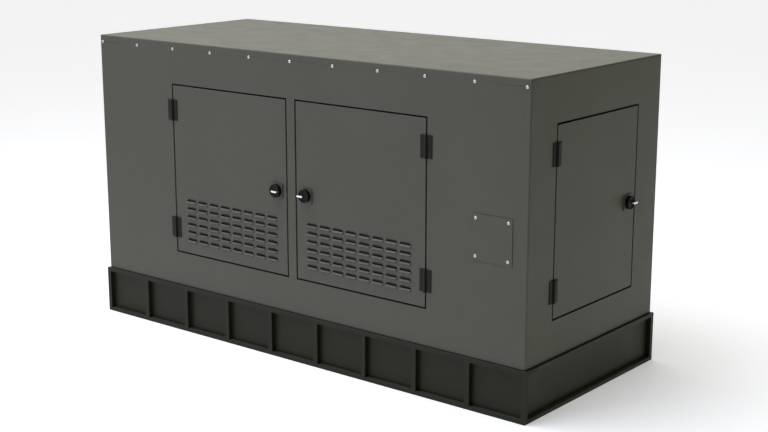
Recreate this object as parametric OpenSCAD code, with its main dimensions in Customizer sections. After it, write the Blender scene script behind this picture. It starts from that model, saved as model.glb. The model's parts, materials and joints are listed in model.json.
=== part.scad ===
// Enclosed standby generator set: skid base, sheet steel housing with three hinged doors,
// liquid-cooled engine, belt-driven fan, generator, battery and control box.
// Origin at the centre of the base's underside. +X is the end with the control door,
// -Y is the side with the two louvred doors, +Z is up. Millimetres and degrees.

/* [Housing] */
// Length of the housing along X
housing_l = 2100; // [2060:10:2500]
// Depth of the housing along Y
housing_w = 860; // [800:10:1000]
// Height of the housing above the base
housing_h = 985; // [960:5:1200]
// Thickness of the housing's sheet steel
sheet = 3; // [2:0.5:4]
// Outer radius of the folded corners and roof edges
corner_r = 5; // [4.5:0.5:8]

/* [Base] */
// Height of the skid base
base_h = 188; // [150:2:240]
// How far the base stands out past the housing all round
base_overhang = 9; // [5:1:20]
// Thickness of the rails' top and bottom flanges
flange_t = 14.5; // [10:0.5:20]
// Width of the rails' flanges
flange_w = 75; // [60:1:90]
// Distance from the flange edge in to the web
web_setback = 17.5; // [10:0.5:25]
// Thickness of the rails' webs
web_t = 8; // [5:0.5:12]
// Number of stiffening ribs on each long side
rib_count = 8; // [4:1:12]
// Width of a stiffening rib
rib_w = 20; // [8:1:30]
// Thickness of the floor plate
floor_t = 4; // [3:0.5:6]
// Width of a cross member
cross_w = 60; // [40:2:80]
// Number of cross members
cross_count = 5; // [3:2:7]
// Wall of the cross members' tube
cross_wall = 6; // [3:0.5:10]
// Radius of an anchor bolt hole
anchor_r = 9; // [6:0.5:12]
// Distance from the base's end in to an anchor hole
anchor_inset = 109; // [90:1:160]
// Side of the square conduit opening in the floor
conduit_side = 180; // [120:5:220]
// Thickness of the gasket under the housing
gasket_t = 4; // [2:0.5:6]

/* [Doors] */
// Width of each front door
door_w = 600; // [520:5:640]
// Width of the end door
end_door_w = 532; // [450:2:600]
// Height of all three doors
door_h = 671; // [600:1:720]
// Gap around a door
door_gap = 6.5; // [3:0.5:8]
// Width of the wall between the two front doors
mullion_w = 39; // [30:1:80]
// Height of the door openings' lower edge above the base
door_sill = 137; // [100:0.5:180]
// Shift of the end door's centre along Y
end_door_shift = 1.5; // [-20:0.5:20]
// Thickness of a door's sheet steel
door_sheet = 2; // [1.5:0.25:3]
// Depth of a door's folded pan
door_depth = 22; // [16:1:30]
// How far the opening's stop lip reaches in behind the door
jamb_lip = 25; // [18:1:35]

/* [Louvres] */
// Columns of louvres on a front door
louvre_columns = 8; // [4:1:8]
// Rows of louvres on a front door
louvre_rows = 6; // [3:1:8]
// Width of one louvre
louvre_w = 52.5; // [45:0.5:58]
// Height of a louvre above its slit
louvre_h = 10.5; // [9:0.5:18]
// How far a louvre is pressed in behind the door's face
louvre_in = 8; // [6:0.5:8.5]
// How far the turned lip below each slit stands out
louvre_lip = 6; // [2:0.5:7]
// Column pitch of the louvres
louvre_pitch_x = 62.6; // [60:0.1:70]
// Row pitch of the louvres
louvre_pitch_z = 31.84; // [26:0.01:36]
// Height of the lowest louvre's slit above the door's lower edge
louvre_bottom = 53; // [35:0.5:60]
// Shift of the louvre field toward the door's free edge
louvre_shift = 6; // [0:0.5:10]

/* [Hinges and latches] */
// Height of a hinge leaf
hinge_h = 82; // [60:1:110]
// Width of an open hinge
hinge_w = 50; // [40:1:70]
// Thickness of a hinge leaf
leaf_t = 3; // [2:0.5:4]
// Radius of a hinge knuckle
knuckle_r = 5; // [4.5:0.5:7]
// Radius of a hinge pin
pin_r = 2.5; // [2:0.25:3]
// Distance from a door's top or bottom edge to a hinge's centre
hinge_inset = 98; // [70:1:140]
// Side of the latch plate
latch_side = 60; // [50:1:80]
// Thickness of the latch plate
latch_plate_t = 3.5; // [2:0.5:5]
// Corner radius of the latch plate
latch_plate_r = 8; // [4:1:14]
// Distance from the opening's edge to the latch axis
latch_inset = 53.5; // [46:0.5:80]
// Height of the latch axis above the door's lower edge
latch_z = 324; // [250:1:420]
// Radius of the latch knob
knob_r = 25; // [20:0.5:28]
// Height of the latch knob's rim above the door
knob_out = 18; // [12:0.5:20]
// Length of the latch's grip bar
bar_l = 28; // [24:1:36]
// Height of the grip bar's face above the door
bar_out = 30; // [24:0.5:34]
// Shift of the grip bar toward the door's free edge
bar_shift = 8.5; // [0:0.5:10]
// Length of the latch cam from its axis
cam_l = 42; // [36:1:50]

/* [Fasteners and covers] */
// Number of screws along the roof's front and rear edges
roof_screw_count = 11; // [5:1:15]
// Distance from the roof's top down to its screws
roof_screw_drop = 27.5; // [22:0.5:35]
// Distance from the housing's end to the first roof screw
roof_screw_inset = 16; // [12:1:40]
// Radius of a screw head
screw_head_r = 6; // [4:0.25:7]
// Height of a screw head
screw_head_h = 3; // [2:0.5:4]
// Radius of a screw's shank
screw_r = 2.5; // [2:0.25:3]
// Width of the small front access cover
cover_w = 165; // [120:1:200]
// Distance of the small cover's centre from the housing's end
cover_inset = 143; // [115:1:160]
// Height of the small cover's centre above the base
cover_z = 433; // [300:1:600]
// Thickness of the bolted covers
cover_t = 2; // [1.5:0.5:3]
// Distance from a cover's edge in to its screws
cover_screw_inset = 16; // [12:1:24]

/* [Engine] */
// Height of the crankshaft's axis above the base's underside
crank_z = 470; // [450:5:500]
// Radius of the crankshaft's main journal
crank_r = 35; // [28:1:40]
// Length of the engine block
block_l = 560; // [520:5:600]
// Half of the block's width at the cylinders
block_half_w = 130; // [110:2:150]
// Radius of the flywheel
flywheel_r = 165; // [140:5:175]
// Radius of the crank pulley
crank_pulley_r = 68; // [60:1:72]
// Radius of the fan pulley
fan_pulley_r = 50; // [44:1:54]
// Radius of the cooling fan
fan_r = 245; // [200:5:255]
// Number of fan blades
fan_blades = 7; // [5:1:9]
// Radius of the fan shaft
fan_shaft_r = 12; // [10:1:15]

/* [Generator] */
// Outer radius of the generator's frame
stator_r = 215; // [205:1:225]
// Inner radius of the generator's core
stator_bore_r = 150; // [130:1:160]
// Length of the generator
stator_l = 540; // [480:5:580]
// Radius of the generator's shaft
rotor_shaft_r = 30; // [24:1:34]

/* [Controls] */
// Width of the control box along Y
control_w = 400; // [340:5:440]
// Height of the control box
control_h = 400; // [340:5:420]
// Depth of the control box along X
control_d = 200; // [160:5:220]
// Distance from the housing's end to the control box's face
control_setback = 150; // [130:5:180]
// Travel of the stop button
stop_travel = 6; // [3:0.5:8]
// Radius of the stop button's head
stop_r = 20; // [16:1:24]

/* [Fits] */
// Running clearance on the radius of a turning shaft or pin
run_fit = 0.05; // [0.02:0.01:0.1]
// Gap between pieces that move past each other
move_gap = 0.5; // [0.4:0.1:1]
// Clearance on the radius of a screw hole
screw_fit = 0.3; // [0.2:0.1:0.6]

/* [Hidden] */
$fn = 48;
eps = 1;                                    // how far a cutting tool runs past what it cuts

// Housing
hl = housing_l / 2;
hw = housing_w / 2;
wall_z0 = base_h + gasket_t;
roof_z = base_h + housing_h;
wall_z1 = roof_z - corner_r;                // the roof's folded edge starts here
roof_lip = 45;                              // depth of the roof's inner fastening lip
roof_screw_z = roof_z - roof_screw_drop;
roof_screw_pitch = (housing_l - 2 * roof_screw_inset) / (roof_screw_count - 1);

// Base
bl = hl + base_overhang;
bw = hw + base_overhang;
rib_pitch = (2 * bl - web_setback) / (rib_count + 1);
rib_h = base_h - 2 * flange_t;
floor_z = base_h - flange_t;
deck_z = floor_z + floor_t;
inner_bl = bl - flange_w;
inner_bw = bw - flange_w;
cross_pitch = 350;                          // distance between cross members
anchor_x = bl - anchor_inset;
anchor_y = (bw - web_setback - web_t + inner_bw) / 2;
conduit_x = 830;                            // centre of the conduit opening

// Doors
open_w = door_w + 2 * door_gap;
open_h = door_h + 2 * door_gap;
end_open_w = end_door_w + 2 * door_gap;
door_z = base_h + door_sill + door_gap;
door_x = mullion_w / 2 + door_gap + door_w / 2;
front_hinge_x = mullion_w / 2 + door_gap * 1.5 + door_w;
axis_out = knuckle_r;                       // hinge axis in front of the door's face
jamb_wall = 3;
jamb_rim = 15;                              // flange of the jamb behind the wall
seal_t = 9;
jamb_depth = door_depth + move_gap + seal_t + jamb_wall;
seal_w = 16;
louvre_arc = (louvre_h * louvre_h - louvre_in * louvre_in) / (2 * louvre_in);
lip_inset = 1;                              // lip's ends from the louvre's ends
lip_drop = 4.5;                             // height from the slit to the lip's edge
lip_root = 6;                               // height of the lip's return to the face
hinge_zs = [hinge_inset, door_h - hinge_inset];
knuckle_gap = 0.4;
knuckle_h = (hinge_h - 2 * knuckle_gap) / 3;
leaf_root = knuckle_r + 0.8;                // leaf plates start this far from the axis
spindle_r = 6;
dish_depth = 3.5;                           // hollow of the knob's face
bar_seat = 2;                               // how deep the grip bar sits in the knob
bar_w = 7.5;
cam_w = 20;
cam_t = 5;
cam_y = jamb_depth + sheet + move_gap;      // cam's front face behind the door's face

// Rear covers
rear_cover_w = 600;
rear_cover_h = 671;
rear_cover_margin = 25;                     // overlap of a cover on its opening
rear_cover_x = 326;
small_cover_margin = 26;
small_cover_x = hl - cover_inset;
grille_w = 560;
grille_h = 620;
grille_z = 330;                             // lower edge of the discharge opening
slat_count = 15;
slat_d = 20;                                // depth of a slat behind the grille's face
slat_t = 3;

// Engine
block_x1 = -60;
block_x0 = block_x1 - block_l;
bell_r = flywheel_r + 35;
bell_l = 60;
crankcase_z = crank_z - 70;
head_z = crank_z + 230;
head_h = 90;
cover_h = 70;
pan_h = 110;
fan_z = crank_z + crank_pulley_r + fan_pulley_r + 27;   // keeps the pulleys' rims apart
pulley_x = block_x0 - 70;                   // rear face of both pulleys
pulley_t = 30;
belt_t = 9;
belt_gap = 0.5;
fan_x = block_x0 - 165;                     // front face of the fan's hub
radiator_x = block_x0 - 190;                // engine side of the radiator
radiator_t = 60;
radiator_w = 660;
radiator_z0 = deck_z + 70;
radiator_z1 = 905;
tank_h = 55;
muffler_r = 72;
muffler_l = 560;
muffler_x = radiator_x - radiator_t - muffler_r - 12;
muffler_z = 830;
pipe_r = 28;
tail_r = 25;
tail_y = 180;
exhaust_y = -(block_half_w + 55);
exhaust_z = head_z + 45;
pipe_z = roof_z - 140;                      // height of the exhaust's run over the radiator
mount_h = 60;
mount_r = 35;
mount_y = 200;
engine_mount_x = block_x0 + 90;
generator_mount_x = 380;

// Controls
control_x = hl - control_setback;           // the box's face
control_z0 = 640;
control_face_z = control_z0 + control_h * 0.4;
stop_y = 120;
mode_y = -120;
breaker_w = 120;
breaker_h = 190;
breaker_d = 90;
breaker_z = 410;
lever_r = 9;
battery_l = 260;
battery_w = 150;
battery_h = 200;
battery_x = 620;
battery_y = -inner_bw + 2;                  // just clear of the rail's flange

function columns(count, pitch) = [for (i = [0 : count - 1]) (i - (count - 1) / 2) * pitch];

// Box from low corner to high corner.
module block(low, high) {
    translate(low) cube(high - low);
}

// Cylinder along X from x0 to x1.
module rod_x(r, x0, x1, y = 0, z = 0) {
    translate([x0, y, z]) rotate([0, 90, 0]) cylinder(r = r, h = x1 - x0);
}

// Cylinder along Y from y0 to y1.
module rod_y(r, y0, y1, x = 0, z = 0) {
    translate([x, y0, z]) rotate([-90, 0, 0]) cylinder(r = r, h = y1 - y0);
}

// Rectangle about the origin with round corners.
module round_rect(w, h, r) {
    square([w - 2 * r, h], center = true);
    square([w, h - 2 * r], center = true);
    for (x = [-1, 1], y = [-1, 1]) translate([x * (w / 2 - r), y * (h / 2 - r)]) circle(r = r);
}

// Stands a drawing of the XY plane up, facing -Y, from y0 back to y0 + depth.
module stand(y0, depth) {
    translate([0, y0 + depth, 0]) rotate([90, 0, 0]) linear_extrude(height = depth) children();
}

// Moves what is drawn for a wall facing -Y at y = 0 to the front or the end wall.
module on_front() {
    translate([0, -hw, 0]) children();
}
module on_end() {
    translate([hl, end_door_shift, 0]) rotate([0, 0, 90]) children();
}

/* ---- base ---- */

// A rail along X with its outer edge at y = 0 and its web behind it.
module rail(length, web_length) {
    for (z = [0, base_h - flange_t]) block([-length / 2, 0, z], [length / 2, flange_w, z + flange_t]);
    block([-web_length / 2, web_setback, flange_t],
          [web_length / 2, web_setback + web_t, base_h - flange_t]);
}

module base_side_rails() color("#3a3b36") difference() {
    for (side = [0, 180]) rotate(side) translate([0, -bw, 0]) rail(2 * bl, 2 * (bl - web_setback));
    for (x = [-anchor_x, anchor_x], y = [-anchor_y, anchor_y])
        translate([x, y, -eps]) cylinder(r = anchor_r, h = flange_t + 2 * eps);
}

module base_end_rails() color("#3a3b36")
    for (side = [90, 270]) rotate(side) translate([0, -bl, 0])
        rail(2 * inner_bw, 2 * (bw - web_setback - web_t));

module base_stiffeners() color("#42433d") {
    for (side = [-1, 1], x = columns(rib_count, rib_pitch))
        translate([x - rib_w / 2, side * (bw - web_setback / 2) - web_setback / 2, flange_t])
            cube([rib_w, web_setback, rib_h]);
    for (x = [-1, 1], y = [-1, 1])
        translate([x * (bl - web_setback / 2) - web_setback / 2,
                   y * (bw - web_setback / 2) - web_setback / 2, flange_t])
            cube([web_setback, web_setback, rib_h]);
}

module base_cross_members() color("#3a3b36")
    for (x = columns(cross_count, cross_pitch)) difference() {
        block([x - cross_w / 2, -inner_bw, 0], [x + cross_w / 2, inner_bw, floor_z]);
        block([x - cross_w / 2 + cross_wall, -inner_bw - eps, cross_wall],
              [x + cross_w / 2 - cross_wall, inner_bw + eps, floor_z - cross_wall]);
    }

module base_floor() color("#4a4b46") difference() {
    block([-inner_bl, -inner_bw, floor_z], [inner_bl, inner_bw, deck_z]);
    translate([conduit_x - conduit_side / 2, -conduit_side / 2, floor_z - eps])
        cube([conduit_side, conduit_side, floor_t + 2 * eps]);
}

// A closed ring standing on the XZ plane: outer w by h, and a band of the given width inside it.
module ring(w, h, band) difference() {
    square([w, h], center = true);
    square([w - 2 * band, h - 2 * band], center = true);
}

module door_seal(w) translate([0, 0, door_z + door_h / 2])
    stand(door_depth + move_gap, seal_t) ring(w + 4, door_h + 4, seal_w);

module weather_seals() color("#1c1c1b") {
    translate([0, 0, base_h]) linear_extrude(height = gasket_t)
        ring(housing_l - 4, housing_w - 4, 30);
    on_front() for (x = [-door_x, door_x]) translate([x, 0, 0]) door_seal(door_w);
    on_end() door_seal(end_door_w);
}

/* ---- housing ---- */

// Plan outline of a long wall with its folded corners, outer face on -Y.
module long_wall_plan() {
    flat = hl - corner_r;
    translate([-flat, -hw]) square([2 * flat, sheet]);
    for (x = [-1, 1]) translate([x * flat, -hw + corner_r]) intersection() {
        difference() {
            circle(r = corner_r);
            circle(r = corner_r - sheet);
        }
        translate([x > 0 ? 0 : -corner_r, -corner_r]) square(corner_r);
    }
}

module roof_screw_holes() for (x = columns(roof_screw_count, roof_screw_pitch))
    rod_y(screw_r + screw_fit, -hw - eps, -hw + 2 * sheet + eps, x, roof_screw_z);

// Places children at the four screws of a w by h cover centred at x, z.
module at_cover_screws(w, h, x, z) for (i = [-1, 1], j = [-1, 1])
    translate([x + i * (w / 2 - cover_screw_inset), 0, z + j * (h / 2 - cover_screw_inset)])
        children();

module screw_hole() rod_y(screw_r + screw_fit, -hw - cover_t - eps, -hw + sheet + eps);

module front_panel() color("#595a58") difference() {
    translate([0, 0, wall_z0]) linear_extrude(height = wall_z1 - wall_z0) long_wall_plan();
    for (x = [-door_x, door_x]) translate([x, 0, door_z + door_h / 2])
        stand(-hw - eps, sheet + 2 * eps) square([open_w, open_h], center = true);
    translate([small_cover_x, 0, base_h + cover_z]) stand(-hw - eps, sheet + 2 * eps)
        square(cover_w - 2 * small_cover_margin, center = true);
    at_cover_screws(cover_w, cover_w, small_cover_x, base_h + cover_z) screw_hole();
    roof_screw_holes();
}

module rear_panel() color("#595a58") rotate(180) difference() {
    translate([0, 0, wall_z0]) linear_extrude(height = wall_z1 - wall_z0) long_wall_plan();
    for (x = [-rear_cover_x, rear_cover_x]) {
        translate([x, 0, door_z + door_h / 2]) stand(-hw - eps, sheet + 2 * eps)
            square([rear_cover_w - 2 * rear_cover_margin, rear_cover_h - 2 * rear_cover_margin],
                   center = true);
        at_cover_screws(rear_cover_w, rear_cover_h, x, door_z + door_h / 2) screw_hole();
    }
    roof_screw_holes();
}

// An end wall's plate, outer face at y = 0, facing -Y.
module end_wall_plate() {
    half = hw - corner_r;
    block([-half, 0, wall_z0], [half, sheet, wall_z1]);
}

module right_end_panel() color("#4d4d44") difference() {
    translate([hl, 0, 0]) rotate(90) end_wall_plate();
    on_end() translate([0, 0, door_z + door_h / 2])
        stand(-eps, sheet + 2 * eps) square([end_open_w, open_h], center = true);
}

module left_end_panel() color("#4d4d44") difference() {
    translate([-hl, 0, 0]) rotate(-90) end_wall_plate();
    block([-hl - eps, -grille_w / 2, grille_z], [-hl + sheet + eps, grille_w / 2, grille_z + grille_h]);
}

// A bar along X of half length l, half width w and top z1, with round top edges of radius r.
module rounded_block(l, w, z0, z1, r) intersection() {
    rotate([90, 0, 90]) linear_extrude(height = 2 * l, center = true) arch(w, z0, z1, r);
    rotate([90, 0, 0]) linear_extrude(height = 2 * w, center = true) arch(l, z0, z1, r);
    translate([0, 0, z0]) linear_extrude(height = z1 - z0) round_rect(2 * l, 2 * w, r);
}

// Rectangle from -w to w and z0 to z1 with its two top corners rounded.
module arch(w, z0, z1, r) {
    translate([-w, z0]) square([2 * w, z1 - z0 - r]);
    translate([-w + r, z0]) square([2 * (w - r), z1 - z0]);
    for (x = [-1, 1]) translate([x * (w - r), z1 - r]) circle(r = r);
}

module roof_panel() color("#85837a") {
    difference() {
        rounded_block(hl, hw, wall_z1 - eps, roof_z, corner_r);
        rounded_block(hl - sheet, hw - sheet, wall_z1 - 2 * eps, roof_z - sheet, corner_r - sheet);
        block([-hl - eps, -hw - eps, wall_z1 - 2 * eps], [hl + eps, hw + eps, wall_z1]);
    }
    for (side = [0, 180]) rotate(side) difference() {
        block([-hl + sheet + eps, -hw + sheet, roof_z - sheet - roof_lip],
              [hl - sheet - eps, -hw + 2 * sheet, roof_z - sheet]);
        roof_screw_holes();
    }
}

// The stop frame behind an opening of width w: rim on the wall, web, and lip behind the door.
module jamb(w) translate([0, 0, door_z + door_h / 2]) {
    stand(sheet, jamb_wall)
        ring(w + 2 * jamb_rim, open_h + 2 * jamb_rim, jamb_rim);
    stand(sheet, jamb_depth - sheet)
        ring(w + 2 * jamb_wall, open_h + 2 * jamb_wall, jamb_wall);
    stand(jamb_depth - jamb_wall, jamb_wall)
        ring(w + 2 * jamb_wall, open_h + 2 * jamb_wall, jamb_lip + jamb_wall);
}

module door_jambs() color("#4f504d") {
    on_front() for (x = [-door_x, door_x]) translate([x, 0, 0]) jamb(open_w);
    on_end() jamb(end_open_w);
}

module access_covers() color("#595a58") {
    difference() {
        translate([small_cover_x, 0, base_h + cover_z]) stand(-hw - cover_t, cover_t)
            round_rect(cover_w, cover_w, 2);
        at_cover_screws(cover_w, cover_w, small_cover_x, base_h + cover_z) screw_hole();
    }
    rotate(180) for (x = [-rear_cover_x, rear_cover_x]) difference() {
        translate([x, 0, door_z + door_h / 2]) stand(-hw - cover_t, cover_t)
            round_rect(rear_cover_w, rear_cover_h, 4);
        at_cover_screws(rear_cover_w, rear_cover_h, x, door_z + door_h / 2) screw_hole();
    }
}

// A pan-head screw seated on the face at y = 0, its shank running back.
module screw(length) translate([0, 0, 0]) rotate([90, 0, 0]) rotate_extrude() {
    translate([0, -length]) square([screw_r, length + screw_head_h / 2]);
    intersection() {
        translate([0, screw_head_h - dome_r()]) circle(r = dome_r());
        square([screw_head_r, screw_head_h]);
    }
}

// Radius of the dome through a screw head's rim and its top.
function dome_r() = (screw_head_r * screw_head_r + screw_head_h * screw_head_h) / (2 * screw_head_h);

module cover_screws() color("silver") {
    for (side = [0, 180]) rotate(side) for (x = columns(roof_screw_count, roof_screw_pitch))
        translate([x, -hw, roof_screw_z]) screw(2 * sheet + 4);
    translate([0, -hw - cover_t, 0])
        at_cover_screws(cover_w, cover_w, small_cover_x, base_h + cover_z) screw(cover_t + sheet + 4);
    rotate(180) translate([0, -hw - cover_t, 0]) for (x = [-rear_cover_x, rear_cover_x])
        at_cover_screws(rear_cover_w, rear_cover_h, x, door_z + door_h / 2)
            screw(cover_t + sheet + 4);
}

module discharge_grille() color("#33342f") {
    frame_w = 20;
    slat_pitch = (grille_h - 2 * frame_w) / slat_count;
    difference() {
        block([-hl - sheet, -grille_w / 2 - frame_w, grille_z - frame_w],
              [-hl, grille_w / 2 + frame_w, grille_z + grille_h + frame_w]);
        block([-hl - sheet - eps, -grille_w / 2 + frame_w, grille_z + frame_w],
              [-hl + eps, grille_w / 2 - frame_w, grille_z + grille_h - frame_w]);
    }
    for (i = [0 : slat_count - 1])
        translate([-hl - sheet, 0, grille_z + frame_w + (i + 0.25) * slat_pitch])
        rotate([90, 0, 0]) linear_extrude(height = grille_w - 2 * frame_w + 2, center = true)
            polygon([[0, 0], [0, slat_t], [slat_d, slat_d], [slat_d, slat_d - slat_t]]);
}

/* ---- doors ---- */

// The hollow of one inward louvre with its slit along the bottom; grow adds to every radius.
module louvre_hollow(grow) {
    r = louvre_in + louvre_arc + grow;
    reach = louvre_w / 2 - louvre_h;
    rod_x(r, -reach, reach, -louvre_arc);
    for (x = [-reach, reach]) translate([x, -louvre_arc, 0]) sphere(r = r);
}

// The sheet pressed in above the slit.
module louvre_shell() intersection() {
    difference() {
        louvre_hollow(door_sheet);
        louvre_hollow(0);
    }
    block([-louvre_w, door_sheet / 2, 0],
          [louvre_w, louvre_in + door_sheet + eps, louvre_h + door_sheet + eps]);
}

module louvre_cut() intersection() {
    louvre_hollow(0);
    block([-louvre_w, -eps, 0], [louvre_w, door_sheet + eps, louvre_h + eps]);
}

// The edge below the slit, turned out to shed rain.
module louvre_lip_bar() rotate([90, 0, 90])
    linear_extrude(height = louvre_w - 2 * lip_inset, center = true) polygon([
        [door_sheet / 2, 0], [0, 0], [-louvre_lip, -lip_drop], [-louvre_lip, -lip_drop - 1.5],
        [0, -lip_drop - lip_root], [door_sheet / 2, -lip_drop - lip_root]
    ]);

// Places children at every louvre of a door whose free edge is on its +X side.
module at_louvres() for (x = columns(louvre_columns, louvre_pitch_x), j = [0 : louvre_rows - 1])
    translate([x + louvre_shift, 0, door_z + louvre_bottom + j * louvre_pitch_z]) children();

// A folded door pan of width w, face at y = 0, with its latch hole at x = latch_x.
module door_pan(w, latch_x) difference() {
    block([-w / 2, 0, door_z], [w / 2, door_depth, door_z + door_h]);
    block([-w / 2 + door_sheet, door_sheet, door_z + door_sheet],
          [w / 2 - door_sheet, door_depth + eps, door_z + door_h - door_sheet]);
    rod_y(spindle_r + 2, -eps, door_sheet + eps, latch_x, door_z + latch_z);
}

// Free edge on +X, hinges on -X, seen from outside.
module louvred_door() {
    difference() {
        door_pan(door_w, door_w / 2 + door_gap - latch_inset);
        at_louvres() louvre_cut();
    }
    at_louvres() {
        louvre_shell();
        louvre_lip_bar();
    }
}

// A hinge's barrel pieces about its axis; first is the lowest knuckle's index, step its spacing.
module leaf(side, knuckles) {
    plate = hinge_w / 2 - leaf_root;
    difference() {
        union() {
            block([side > 0 ? leaf_root : -leaf_root - plate, axis_out - leaf_t, 0],
                  [side > 0 ? leaf_root + plate : -leaf_root, axis_out, hinge_h]);
            for (k = knuckles) translate([0, 0, k * (knuckle_h + knuckle_gap)]) {
                cylinder(r = knuckle_r, h = knuckle_h);
                block([side > 0 ? 0 : -leaf_root - eps, axis_out - leaf_t, 0],
                      [side > 0 ? leaf_root + eps : 0, axis_out, knuckle_h]);
            }
        }
        translate([0, 0, -eps]) cylinder(r = pin_r + run_fit, h = hinge_h + 2 * eps);
    }
}

// Places children at both hinge axes of a door of width w, for a door with hinges on -X.
module at_hinges(w) for (z = hinge_zs)
    translate([-w / 2 - door_gap / 2, -axis_out, door_z + z - hinge_h / 2]) children();

module door_leaves(w) at_hinges(w) leaf(1, [1]);

module frame_leaves(w) at_hinges(w) leaf(-1, [0, 2]);

module door_pins(w) at_hinges(w) {
    cylinder(r = pin_r, h = hinge_h);
    for (z = [-1.5, hinge_h]) translate([0, 0, z]) cylinder(r = knuckle_r - 1.2, h = 1.5);
}

// Puts a door drawn about x = 0 with its hinges on -X into each of its three places.
module place_left() {
    on_front() translate([-door_x, 0, 0]) children();
}
module place_right() {
    on_front() translate([door_x, 0, 0]) mirror([1, 0, 0]) children();
}
module place_end() {
    on_end() children();
}

module all_doors() {
    place_left() children(0);
    place_right() children(0);
    place_end() children(1);
}

module frame_hinge_leaves() color("#30312b") all_doors() {
    frame_leaves(door_w);
    frame_leaves(end_door_w);
}

module hinge_pins() color("#1a1a17") all_doors() {
    door_pins(door_w);
    door_pins(end_door_w);
}

/* ---- latches ---- */

// Places children at the latch axis of a door of width w.
module at_latch(w) translate([w / 2 + door_gap - latch_inset, 0, door_z + latch_z]) children();

module latch_plate(w) at_latch(w) difference() {
    stand(-latch_plate_t, latch_plate_t) round_rect(latch_side, latch_side, latch_plate_r);
    rod_y(spindle_r + run_fit, -latch_plate_t - eps, eps);
}

module latch_knob(w) at_latch(w) {
    back = latch_plate_t + move_gap;
    rod_y(spindle_r, -back - eps, cam_y);
    difference() {
        rotate([90, 0, 0]) rotate_extrude() polygon([
            [0, back], [knob_r - 1, back], [knob_r, back + 1], [knob_r, knob_out - 1.5],
            [knob_r - 1.5, knob_out], [knob_r - 4, knob_out], [knob_r - 6, knob_out - dish_depth],
            [0, knob_out - dish_depth]
        ]);
        latch_grip();
    }
}

// The grip bar, standing out of the knob's dished face and seated bar_seat deep in it.
module latch_grip() translate([bar_shift, 0, 0])
    stand(-bar_out, bar_out - knob_out + dish_depth + bar_seat) round_rect(bar_l, bar_w, 1.5);

module latch_bar(w) at_latch(w) latch_grip();

// Cam behind the door, hanging at rest and turned level to catch behind the jamb's lip.
module latch_cam(w) at_latch(w) {
    difference() {
        union() {
            rod_y(cam_w / 2, cam_y, cam_y + cam_t);
            block([-cam_w / 2, cam_y, -cam_l], [cam_w / 2, cam_y + cam_t, 0]);
        }
        rod_y(3 + run_fit, cam_y - eps, cam_y + cam_t + eps);
    }
    rod_y(8, cam_y + cam_t, cam_y + cam_t + 6);
}

module left_door_panel() color("#595a58") place_left() louvred_door();
module left_door_hinge_leaves() color("#30312b") place_left() door_leaves(door_w);
module left_latch_plate() color("#595a58") place_left() latch_plate(door_w);
module left_latch_knob() color("#1c1c1a") place_left() latch_knob(door_w);
module left_latch_bar() color("#e0e0e4") place_left() latch_bar(door_w);
module left_latch_cam() color("#9a9a98") place_left() latch_cam(door_w);

module right_door_panel() color("#595a58") place_right() louvred_door();
module right_door_hinge_leaves() color("#30312b") place_right() door_leaves(door_w);
module right_latch_plate() color("#595a58") place_right() latch_plate(door_w);
module right_latch_knob() color("#1c1c1a") place_right() latch_knob(door_w);
module right_latch_bar() color("#e0e0e4") place_right() latch_bar(door_w);
module right_latch_cam() color("#9a9a98") place_right() latch_cam(door_w);

module end_door_panel() color("#4d4d44") place_end()
    door_pan(end_door_w, end_door_w / 2 + door_gap - latch_inset);
module end_door_hinge_leaves() color("#30312b") place_end() door_leaves(end_door_w);
module end_latch_plate() color("#4d4d44") place_end() latch_plate(end_door_w);
module end_latch_knob() color("#1c1c1a") place_end() latch_knob(end_door_w);
module end_latch_bar() color("#e0e0e4") place_end() latch_bar(end_door_w);
module end_latch_cam() color("#9a9a98") place_end() latch_cam(end_door_w);

/* ---- engine ---- */

// Support bracket from a machine's side down to an isolation mount at x, y.
module foot(x, y, inner_y, top_z) {
    side = sign(y);
    block([x - 45, min(y - 40 * side, inner_y, y + 40 * side), deck_z + mount_h],
          [x + 45, max(y - 40 * side, inner_y, y + 40 * side), deck_z + mount_h + 12]);
    for (dx = [-45, 37]) block([x + dx, min(inner_y, y), deck_z + mount_h],
                               [x + dx + 8, max(inner_y, y), top_z]);
}

module engine_block() color("#5b6a72") difference() {
    union() {
        block([block_x0, -block_half_w, crank_z], [block_x1, block_half_w, head_z]);
        block([block_x0, -block_half_w - 30, crankcase_z], [block_x1, block_half_w + 30, crank_z + 25]);
        for (x = columns(4, 120)) for (side = [-1, 1])
            translate([(block_x0 + block_x1) / 2 + x, side * (block_half_w - 10), crank_z])
                cylinder(r = 45, h = head_z - crank_z - 20);
        rod_x(bell_r, block_x1, block_x1 + bell_l, 0, crank_z);
        rod_x(60, block_x0 - 20, block_x0, 0, crank_z);
        rod_x(45, block_x0 - 45, block_x0 + eps, 0, fan_z);
        for (side = [-1, 1]) foot(engine_mount_x, side * mount_y, side * (block_half_w + 29),
                                  crankcase_z + 60);
    }
    rod_x(crank_r + run_fit, block_x0 - 20 - eps, block_x1 + bell_l + eps, 0, crank_z);
    rod_x(bell_r - 15, block_x1 + 12, block_x1 + bell_l + eps, 0, crank_z);
    rod_x(fan_shaft_r + run_fit, block_x0 - 45 - eps, block_x0 + 5, 0, fan_z);
    block([block_x0 + 20, -block_half_w + 20, crankcase_z - eps],
          [block_x1 - 20, block_half_w - 20, crankcase_z + 25]);
}

module cylinder_head() color("#8d9295") difference() {
    block([block_x0 + 8, -block_half_w + 15, head_z], [block_x1 - 8, block_half_w - 15, head_z + head_h]);
    for (x = columns(4, 120)) rod_y(18, -block_half_w, -block_half_w + 60,
                                    (block_x0 + block_x1) / 2 + x, exhaust_z);
}

module valve_cover() color("#2f3133") {
    translate([(block_x0 + block_x1) / 2, 0, 0])
        rounded_block(block_l / 2 - 25, block_half_w - 45, head_z + head_h, head_z + head_h + cover_h, 20);
    translate([block_x0 + 120, 0, head_z + head_h + cover_h - 5]) cylinder(r = 28, h = 25);
}

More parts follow.
